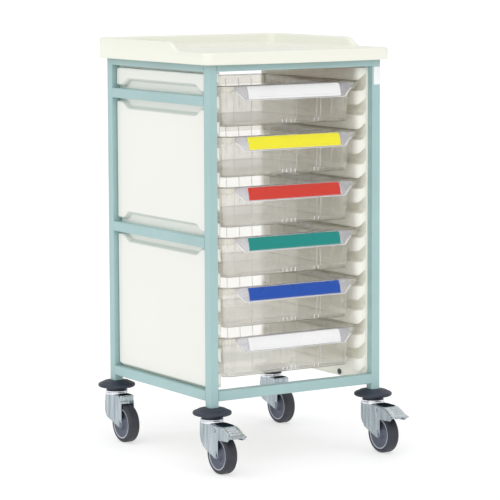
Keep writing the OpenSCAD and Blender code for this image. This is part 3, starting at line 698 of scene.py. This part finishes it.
def make_label_card(form, k):
    """A printed card with a fold line near its foot, in a clear film a little larger than it."""
    half, top, foot, corner = 109, 0.3, 0.95, 4
    thickness, fold, fold_at, groove_at = 0.8, 1.0, 0.9, 0.86
    film, border, film_top, film_foot, film_corner = 0.4, 1.5, 0.285, 0.965, 4.5
    body = f"tray_body_{k}"
    slots = ["label_white", "label_yellow", "label_red", "label_green", "label_blue", "label_white"]

    def raised(t):
        ridge, groove = math.exp(-((t - fold_at) / 0.018) ** 2), math.exp(-((t - groove_at) / 0.012) ** 2)
        return thickness + fold * (ridge - groove / 2)

    card = [label_grid(form, half, top, foot, corner, out) for out in (raised, lambda t: 0.02)]
    Shape().slab(*card).make(f"label_{k}_card", LABELS[k - 1], body, slots[k - 1], [f"label_strip_{k}"], 50)
    holder = [label_grid(form, half + border, film_top, film_foot, film_corner, out)
              for out in (lambda t: film, lambda t: 0.01)]
    Shape().slab(*holder).make(f"label_{k}_film", HOLDER, body, "clear_tray", angle=50)


# Panels and liners


def panel_sink(y, z, centres):
    """Depth of the troughs behind the side rails, whose ends narrow in a double curve."""
    depth, end_half, widening = 10, 18.5, 14
    end_y, end_run = 159, 28
    inward = ease((end_y - abs(y)) / end_run)
    half = end_half + widening * inward
    slope = 5 + 2.5 * inward
    return max(depth * ease((half - abs(z - at)) / slope) for at in centres)


def make_panel(side):
    """A formed sheet with a turned-back edge all round and a trough behind each middle rail."""
    sign = -1 if side == "left" else 1
    low, high = box_mm(f"side_panel_{side}")
    boss_end, face = sorted((abs(low.x), abs(high.x)))
    mid_y, mid_z = (low.y + high.y) / 2, (low.z + high.z) / 2
    half_y, half_z = (high.y - low.y) / 2, (high.z - low.z) / 2
    sheet, corner, back, margin = 2, 10, 10, 5
    slope_first, slope_step, slope_rows, plain_step = 7, 1.1, 26, 16
    centres = []
    for rail, rise in (("upper", 0), ("middle", 2)):
        a, b = box_mm(f"rail_{side}_{rail}")
        centres.append((a.z + b.z) / 2 + rise - mid_z)
    edge = [(0, back), (0, 2.6), (0.3, 1.3), (0.9, 0.4), (1.8, 0), (3.4, 0), (margin, 0)]

    def line(half, inner):
        """Positions across the sheet with the edge's depth at each."""
        left = [(-half + inset, sink) for inset, sink in edge]
        return left + [(v, 0) for v in inner] + [(-v, sink) for v, sink in left[::-1]]

    ys = [-half_y + margin + 2 * k for k in range(1, 27)]
    ys += span(ys[-1], -ys[-1], 8)[1:-1] + [-y for y in ys[::-1]]
    offsets = [slope_first + slope_step * k for k in range(slope_rows)]
    near = sorted({round(at + s * offset, 3) for at in centres for s in (-1, 1) for offset in offsets})
    stops = [-half_z + margin] + near + [half_z - margin]
    zs = []
    for a, b in zip(stops, stops[1:]):
        zs += span(a, b, max(1, round((b - a) / plain_step)))[1:]
    columns, rows = line(half_y, ys), line(half_z, zs[:-1])

    def at(y, z, shrink):
        """The grid point with the sheet's corners drawn in to an arc."""
        u = max(0, (abs(y) - half_y + corner) / corner)
        v = max(0, (abs(z) - half_z + corner) / corner)
        if u and v:
            y = math.copysign(half_y - corner + corner * u * math.sqrt(1 - v * v / 2), y)
            z = math.copysign(half_z - corner + corner * v * math.sqrt(1 - u * u / 2), z)
        return mid_y + y * (1 - shrink / half_y), mid_z + z * (1 - shrink / half_z)

    outer, inner = [], []
    for y, sink_y in columns:
        for grid, thick in ((outer, 0), (inner, sheet)):
            row = []
            for z, sink_z in rows:
                turned = max(sink_y, sink_z)
                deep = panel_sink(y, z, centres) + thick
                at_edge = turned == back or not thick
                sink = max(turned if at_edge else turned + thick, deep)
                row.append((sign * (face - sink), *at(y, z, thick)))
            grid.append(row)
    shape = Shape().slab(outer, inner)
    hole_r, boss_r = 1.5, 5
    boss_y, boss_up, boss_down = half_y - 25, 25, 12.5
    for dy in (-boss_y, boss_y):
        for z in (low.z + boss_up, high.z - boss_down):
            ring = [(hole_r, boss_end), (boss_r, boss_end), (boss_r, face - sheet), (hole_r, face - sheet)]
            shape.lathe([(r, sign * h) for r, h in ring], (0, mid_y + dy, z), "x", 24)
    shape.make(f"side_panel_{side}_sheet", PANEL, "root", "panel_abs", [f"side_panel_{side}"], 50)


def make_panels():
    for side in SIDES:
        make_panel(side)
        eased_copy(f"runner_liner_{side}", f"runner_liner_{side}_sheet", LINER, 1.5)


# Castors: heights are from the ground and the other sizes from the swivel axis

CROWN_Z = 99.6
SHEET = 2.0
EDGE_SOFT = 0.6
FORK_HALF, FORK_BEND = 16, 3
LIP_HEIGHT = 12.5
AXLE_Y, AXLE_Z = -37.5, 40
BOSS_R = 8
LEG_FRONT = AXLE_Y - BOSS_R
LEG_BACK = 21.5
FLUTES_Y = (13, 4, -11, -22)
CUP = [(5, 97.1), (22.3, 97.1), (23.2, 97.6), (23.5, 98.5), (23.5, 101.4), (23.1, 102.1), (22.3, 102.1),
       (21.6, 101.4), (21.6, CROWN_Z), (5, CROWN_Z)]
# A dark pad on the crown of an unbraked fork: painted shade for the crown's top in shadow under the bumper.
CROWN_SHADE_PAD = (-13, -42, 13, -25, 98.5, 100.2)
TREAD = [(-104, 82.2), (-101.8, 82.4), (-91, 84), (-80, 91.5), (-64, 98.2), (-27.5, 99.4)]
TREAD_RIBS_Y = (-69, -75, -81, -87)
TREAD_RIB_HALF = 12.5
CHEEK_FOOT = [(-97, 80.5), (-87, 73), (-46, 70.5), (-37, 78.5)]
PIVOT_Y, PIVOT_Z, CHEEK_R = -37, 88, 9.5
WINDOW_START, WINDOW_END, WINDOW_HALF = -57, -31.5, 8.5
# The first block, under the pedal's window, and the last, a pad over the tread, are painted shade; the middle
# one is the brake shoe.
SHOE_AND_SHADE_BLOCKS = [(-12, -50, 12, -29, 83, 92), (-9, -64, 9, -49, 81.3, 95.5),
                (-13.5, -61, 13.5, -27, 97.9, 100)]
HUB = [(4.05, 13.6), (9.5, 13.6), (10.6, 13), (11.4, 10), (12.6, 7), (15, 5.2), (19, 4.8), (23, 5.6),
       (26.5, 8), (28.2, 10.2), (29.4, 11), (31, 11.2), (32, 10.6)]


def castor_axis(corner):
    """The swivel axis of a castor, which is the middle of its post."""
    low, high = box_mm(f"post_{corner}")
    return (low.x + high.x) / 2, (low.y + high.y) / 2


def boss_half(z):
    return math.sqrt(max(0.05, BOSS_R ** 2 - (z - AXLE_Z) ** 2))


def leg_back(z, brake):
    """Rear edge of a fork leg: upright, then a round heel, then straight to the axle boss."""
    bulge, heel_r, heel_z, turn = (0, 31.5, 74, 64) if brake else (5, 17, 63, 72)
    bulge_run = 20
    centre = LEG_BACK + bulge - heel_r
    end_y = centre + heel_r * math.cos(math.radians(turn))
    end_z = heel_z - heel_r * math.sin(math.radians(turn))
    if z >= heel_z:
        return LEG_BACK + bulge * clamp((CROWN_Z - z) / bulge_run)
    if z >= end_z:
        return centre + math.sqrt(heel_r ** 2 - (heel_z - z) ** 2)
    boss_z = AXLE_Z - BOSS_R + 0.4
    line = between([(boss_z, AXLE_Y + 2.5), (end_z, end_y)], z)
    return max(line, AXLE_Y + boss_half(z)) if z >= boss_z else AXLE_Y + boss_half(z)


def leg_front(z, brake):
    """Front edge of a fork leg, which a brake pedal overlaps on the front castors."""
    if z < AXLE_Z:
        return AXLE_Y - boss_half(z)
    if brake:
        return between([(88, LEG_FRONT), (94.4, -41), (95.2, -26), (CROWN_Z, -24)], z)
    return LEG_FRONT if z < CROWN_Z - LIP_HEIGHT else LEG_FRONT + 4


def fork_path():
    """Points up one leg, over the crown and down the other, each with its outward normal."""
    bend = FORK_BEND
    rise = [AXLE_Z - BOSS_R * math.cos(a) for a in arc(6, 90, 6)]
    rise += span(AXLE_Z, CROWN_Z - 12.7, 30)[1:]
    rise += span(CROWN_Z - 12.4, CROWN_Z - bend, 6)
    half = [(FORK_HALF, z, 1, 0) for z in rise]
    half += [(FORK_HALF - bend + bend * math.cos(a), CROWN_Z - bend + bend * math.sin(a),
              math.cos(a), math.sin(a)) for a in arc(10, 90, 10)]
    half += [(x, CROWN_Z, 0, 1) for x in span(FORK_HALF - bend, 0, 6)[1:-1]]
    return [(-x, z, -nx, nz) for x, z, nx, nz in half] + [(0, CROWN_Z, 0, 1)] + half[::-1]


def leg_relief(y, z, brake):
    """How far the leg's sheet is pressed inwards: upright flutes, or a rolled rear edge."""
    fade = ease((CROWN_Z - 2 - z) / 8) * ease((z - AXLE_Z) / 14)
    if brake:
        depth, width = 0.8, 1.7
        return depth * fade * sum(math.exp(-((y - at) / width) ** 2) for at in FLUTES_Y)
    roll, roll_y, roll_run = 1.6, 12, 14
    flute, flute_y, flute_width = 0.5, -30, 3
    return roll * ease((y - roll_y) / roll_run) + flute * fade * math.exp(-((y - flute_y) / flute_width) ** 2)


def make_fork(corner):
    ox, oy = castor_axis(corner)
    body = f"castor_{corner}"
    brake = corner in BRAKED
    outer, inner = [], []
    for x, z, nx, nz in fork_path():
        front, back = leg_front(z, brake), leg_back(z, brake)
        soft = min(0.7, (back - front) / 4)
        ys = [front] + span(front + soft, back - soft, 26) + [back]
        on_leg = abs(nx) > 0.99
        for rows, depth in ((outer, 0), (inner, SHEET)):
            row = []
            for k, y in enumerate(ys):
                edge = EDGE_SOFT if k in (0, len(ys) - 1) else 0
                inward = abs(depth - edge) + (leg_relief(y, z, brake) if on_leg else 0)
                row.append((ox + x - nx * inward, oy + y, z - nz * inward))
            rows.append(row)
    shape = Shape().slab(outer, inner)
    # The cup is in the lighter zinc, a painted highlight.
    Shape().lathe(CUP, (ox, oy, 0), "z").make(f"fork_{corner}_cup", LIT_ZINC, body, "zinc_fork")
    if not brake:
        add_fork_lip(shape, ox, oy)
        # A dark pad on the crown, painted shade.
        Shape().block(ox, oy, CROWN_SHADE_PAD).make(f"fork_{corner}_pad", SHOE_AND_SHADE, body, "bumper")
    shape.make(f"fork_{corner}_pressing", ZINC, body, "zinc_fork", [f"castor_fork_{corner}"], 50)


def add_fork_lip(shape, ox, oy):
    """The turned-down front of an unbraked fork, with round corners."""
    corner_r, bend, foot = 4, FORK_BEND, CROWN_Z - LIP_HEIGHT
    rows = [(foot, EDGE_SOFT)] + [(z, 0) for z in span(foot + EDGE_SOFT, CROWN_Z - bend, 4)]
    rows += [(CROWN_Z - bend + bend * math.sin(a), bend * (1 - math.cos(a))) for a in arc(10, 90, 10)]

    def plan(inset):
        """The outline round the front, from one side to the other."""
        r = max(0.3, corner_r - inset)
        side, front = FORK_HALF - inset, LEG_FRONT + inset
        half = [(side, front + r + 6), (side, front + r + 3)]
        half += [(side - r + r * math.cos(a), front + r - r * math.sin(a)) for a in arc(0, 90, 10)]
        half += [(x, front) for x in span(side - r, 0, 5)[1:]]
        return half + [(-x, y) for x, y in half[:-1][::-1]]

    def grid(extra):
        made = []
        for k, (z, inset) in enumerate(rows):
            deep = abs(inset - extra) if k == 0 else inset + extra
            lower = extra * clamp((z - CROWN_Z + bend) / bend)
            made.append([(ox + x, oy + y, z - lower) for x, y in plan(deep)])
        return made

    shape.slab(grid(0), grid(SHEET))


def tread_height(x, y):
    """Upper face of the pedal, softened at its bends, with ribs across the slope."""
    soft = [between(TREAD, y + d) for d in (-4, -2, 0, 2, 4)]
    rise, width, end_run = 1.8, 1.3, 2.5
    ribs = sum(math.exp(-((y - at) / width) ** 2) for at in TREAD_RIBS_Y)
    return sum(soft) / len(soft) + rise * ribs * ease((TREAD_RIB_HALF - abs(x)) / end_run)


def cheek_low(y):
    """Lower edge of the pedal's cheeks, round about the hinge pin."""
    if y > PIVOT_Y:
        return PIVOT_Z - math.sqrt(max(0, CHEEK_R ** 2 - (y - PIVOT_Y) ** 2))
    return between(CHEEK_FOOT, y)


def pedal_half(y):
    """Half width of the pedal, which widens to a lip with round front corners."""
    half, widening, wide_y, wide_run = 18.4, 1.6, -84, 7
    nose_y, corner = -102.6, 8
    wide = half + widening * ease((wide_y - y) / wide_run)
    into = clamp((nose_y + corner - y) / corner)
    return wide - corner * (1 - math.sqrt(1 - into ** 2))


def pedal_section(y):
    """Points across the pedal from cheek to cheek, each with its outward normal."""
    bend, rib_free, least_cheek = 2.6, 20, 2.4
    w, edge = pedal_half(y), tread_height(rib_free, y)
    low = min(cheek_low(y), edge - least_cheek)
    r = min(bend, (edge - low) * 0.45)
    reach = w - r
    half = [(w, low + (edge - r - low) * t, 1, 0) for t in (0, 0.12, 0.35, 0.6, 0.85, 1)]
    half += [(reach + r * math.cos(a), edge - r + r * math.sin(a), math.cos(a), math.sin(a))
             for a in arc(18, 90, 18)]
    flat = span(reach - 0.2, WINDOW_HALF, 5)[1:] + [6, 3]
    half += [(x, tread_height(x, y), 0, 1) for x in flat]
    return [(-x, z, -nx, nz) for x, z, nx, nz in half] + [(0, tread_height(0, y), 0, 1)] + half[::-1]


def make_pedal(corner):
    ox, oy = castor_axis(corner)
    body = f"pedal_{corner}"
    ys = span(-102.4, WINDOW_START, 48) + span(WINDOW_START, -31, 13)[1:] + [-30.1, -29.2, -28.3, -27.5]
    outer, inner = [], []
    for y in ys:
        section = pedal_section(y)
        for rows, depth in ((outer, 0), (inner, SHEET)):
            row = []
            for k, (x, z, nx, nz) in enumerate(section):
                at_edge = k in (0, len(section) - 1) or y in (ys[0], ys[-1])
                inward = abs(depth - (EDGE_SOFT if at_edge else 0))
                row.append((ox + x - nx * inward, oy + y, z - nz * inward))
            rows.append(row)
    middle = len(outer[0]) // 2

    def window(i, j):
        return WINDOW_START <= ys[i] < WINDOW_END and middle - 3 <= j < middle + 3

    shape = Shape().slab(outer, inner, window)
    roll_y, roll_z, roll_width = -101.8, 82, 4.2
    roll = [(ox + x, oy + roll_y, roll_z) for x in (-15.5, -14.5, -10, -5, 0, 5, 10, 14.5, 15.5)]
    shape.bar(roll, (0, 0, 1), roll_width, 12)
    shape.make(f"pedal_{corner}_pressing", ZINC, body, "zinc_fork", [f"brake_pedal_{corner}"], 50)
    # The brake shoe, with dark blocks that are painted shade under the window and over the tread.
    blocks = Shape()
    for sizes in SHOE_AND_SHADE_BLOCKS:
        blocks.block(ox, oy, sizes)
    blocks.make(f"pedal_{corner}_block", SHOE_AND_SHADE, body, "bumper")


def make_wheel_centre(corner):
    """The wheel's moulded centre, with a bright line round the rim on each side."""
    ox, oy = castor_axis(corner)
    body = f"wheel_{corner}"
    centre = (ox, oy + AXLE_Y, AXLE_Z)
    profile = HUB + [(r, -h) for r, h in reversed(HUB)]
    hub = Shape().lathe(profile, centre, "x", 96)
    hub.make(f"wheel_{corner}_hub", WHEEL, body, "wheel_grey", [f"wheel_centre_{corner}"])
    bands = Shape()
    band_r, band_x, band_width, band_rise = 30.6, 11.4, 1.25, 0.9
    for side in (-1, 1):
        ring = [(band_r + band_width * math.cos(a), side * (band_x + band_rise * math.sin(a)))
                for a in arc(0, 330, 30)]
        bands.lathe(ring, centre, "x", 96)
    bands.make(f"wheel_{corner}_rim", RIM, body, "wheel_grey")


def make_castors():
    # The stems are in the lighter zinc, a painted highlight.
    eased_copy("castor_stems", "castor_stems_turned", LIT_ZINC, 0.7)
    for corner in CORNERS:
        make_fork(corner)
        make_wheel_centre(corner)
    for corner in BRAKED:
        make_pedal(corner)


def make_sticker():
    """A small blank label at the top of the front right post."""
    low, high = box_mm("post_front_right")
    x0, x1 = low.x + 3.6, high.x - 1.4
    z0, z1 = 752, 788
    loops = []
    for out, inset in ((-0.02, 0), (0.18, 0), (0.25, 0.25)):
        ring = rounded_rect(x0 + inset, z0 + inset, x1 - inset, z1 - inset, 1.5, 4, 4)
        loops.append([(x, low.y - out, z) for x, z in ring])
    Shape().loft(loops).make("blank_sticker", STICKER, "root", "label_white")


make_worktop()
for number in TRAYS:
    make_tray(number)
make_panels()
make_castors()
make_sticker()


# Studio


def make_camera():
    az, el, roll = map(math.radians, (AZIMUTH, ELEVATION, ROLL))
    look = Vector((math.sin(az) * math.cos(el), math.cos(az) * math.cos(el), -math.sin(el)))
    right = Vector((math.cos(az), -math.sin(az), 0))
    up = right.cross(look)
    right, up = (math.cos(roll) * right + math.sin(roll) * up,
                 -math.sin(roll) * right + math.cos(roll) * up)
    data = bpy.data.cameras.new("camera")
    data.sensor_width = SENSOR_MM
    data.lens = FOCAL_PX * SENSOR_MM / IMAGE_PX
    data.shift_x = (IMAGE_PX / 2 - CENTRE_PX[0]) / IMAGE_PX
    data.shift_y = (CENTRE_PX[1] - IMAGE_PX / 2) / IMAGE_PX
    data.clip_start, data.clip_end = 0.1, 400
    camera = bpy.data.objects.new("camera", data)
    turn = Matrix((right, up, -look)).transposed().to_4x4()
    camera.matrix_world = Matrix.Translation(Vector(CAMERA_MM) * MM) @ turn
    bpy.context.scene.collection.objects.link(camera)
    bpy.context.scene.camera = camera


def add_sun(name, azimuth, elevation, strength, spread):
    """A soft distant lamp that shines from a bearing clockwise from +Y, at a height in degrees."""
    az, el = math.radians(azimuth), math.radians(elevation)
    data = bpy.data.lights.new(name, "SUN")
    data.energy = strength
    data.angle = math.radians(spread)
    light = bpy.data.objects.new(name, data)
    towards = Vector((math.sin(az) * math.cos(el), math.cos(az) * math.cos(el), math.sin(el)))
    light.location = 4 * towards
    light.rotation_euler = towards.to_track_quat("Z", "Y").to_euler()
    bpy.context.scene.collection.objects.link(light)


def make_floor():
    """A wide pale ground, slightly uneven in tone, that gives off a little light of its own."""
    tone, other_tone = (0.5, 0.5, 0.5, 1), (0.49, 0.49, 0.49, 1)
    glow = 0.56
    half = 150
    mesh = bpy.data.meshes.new("floor")
    corners = [(-half, -half, 0), (half, -half, 0), (half, half, 0), (-half, half, 0)]
    mesh.from_pydata(corners, [], [(0, 1, 2, 3)])
    floor = bpy.data.objects.new("floor", mesh)
    bpy.context.scene.collection.objects.link(floor)
    s = Shader("studio_floor", tone, 0.8, Emission_Color=(1, 1, 1, 1), Emission_Strength=glow)
    s.feed("Base Color", s.mix(s.noise(2), tone, other_tone))
    paint(floor, s.mat)


def make_world():
    world = bpy.data.worlds.new("studio")
    world.use_nodes = True
    background = world.node_tree.nodes["Background"]
    background.inputs["Color"].default_value = (1, 1, 1, 1)
    background.inputs["Strength"].default_value = 0.75
    bpy.context.scene.world = world


scene = bpy.context.scene
scene.view_settings.view_transform = "Standard"
scene.cycles.max_bounces = 32
scene.cycles.diffuse_bounces = 12
scene.cycles.glossy_bounces = 8
scene.cycles.transmission_bounces = 24
scene.cycles.transparent_max_bounces = 48
make_camera()
make_world()
make_floor()
add_sun("key", azimuth=225, elevation=52, strength=1.14, spread=110)
